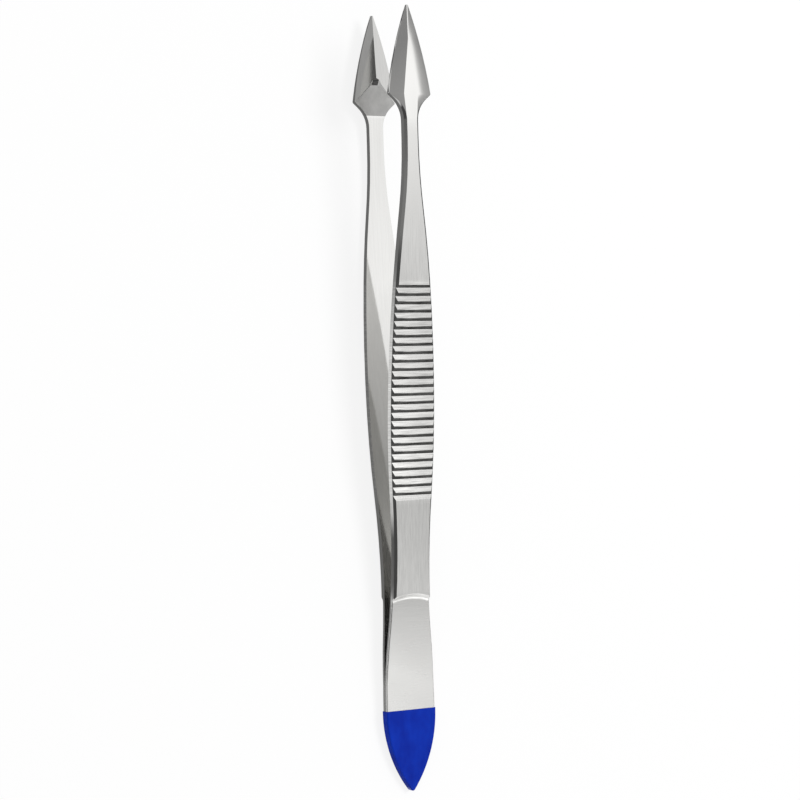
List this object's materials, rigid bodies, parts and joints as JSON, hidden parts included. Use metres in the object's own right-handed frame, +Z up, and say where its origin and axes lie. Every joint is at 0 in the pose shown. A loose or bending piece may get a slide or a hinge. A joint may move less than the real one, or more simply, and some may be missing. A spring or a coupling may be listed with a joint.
{
  "type": "thumb forceps",
  "caption": "Spring tweezers of stainless steel: fine arrow-head jaws with inner ridges, serrated finger grip, thin spring leaves and a coated rear end.",
  "frame": {"origin": "bottom centre of the bounding box, on the floor it lies on", "axes": "-X towards the tips, +X towards the coated rear end, Y across the width, +Z up, from the arm it lies on towards the other arm"},
  "size_m": [0.1152, 0.0084, 0.0132],
  "materials": {
    "stainless": "satin",
    "blue_coating": "gloss"
  },
  "bodies": {
    "root": {"upper_arm": "stainless", "lower_arm": "stainless", "end_coating": "blue_coating"}
  },
  "joints": []
}
